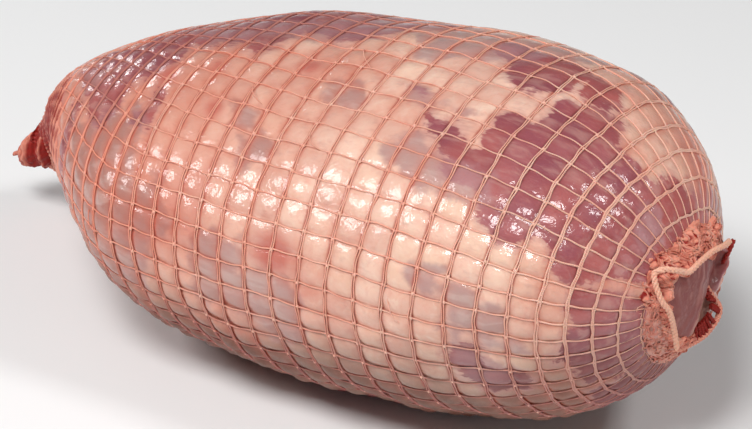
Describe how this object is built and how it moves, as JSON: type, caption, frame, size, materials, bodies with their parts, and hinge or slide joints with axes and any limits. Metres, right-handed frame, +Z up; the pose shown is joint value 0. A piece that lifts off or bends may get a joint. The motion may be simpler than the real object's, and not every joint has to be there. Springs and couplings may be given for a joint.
{
  "type": "netted boneless leg of lamb",
  "caption": "Cured boneless leg of lamb, an uneven oval joint drawn tight in a square-meshed elastic net, knotted at its narrow end and bunched round a bare patch of meat at its broad end.",
  "frame": {"origin": "on the surface it lies on, under the middle of the bounding box", "axes": "+X along the leg from the knotted narrow end to the broad end with the net's mouth, +Z up from the surface it lies on"},
  "size_m": [0.2787, 0.1413, 0.1064],
  "materials": {
    "raw_meat": "wet raw lamb, cream fat over mauve muscle, glossy",
    "elastic_net": "knitted elastic net, salmon pink",
    "pale_cord": "covered elastic cord, pale salmon"
  },
  "bodies": {
    "root": {"meat": "raw_meat", "net": "elastic_net", "mouth_cord": "pale_cord"}
  },
  "joints": []
}
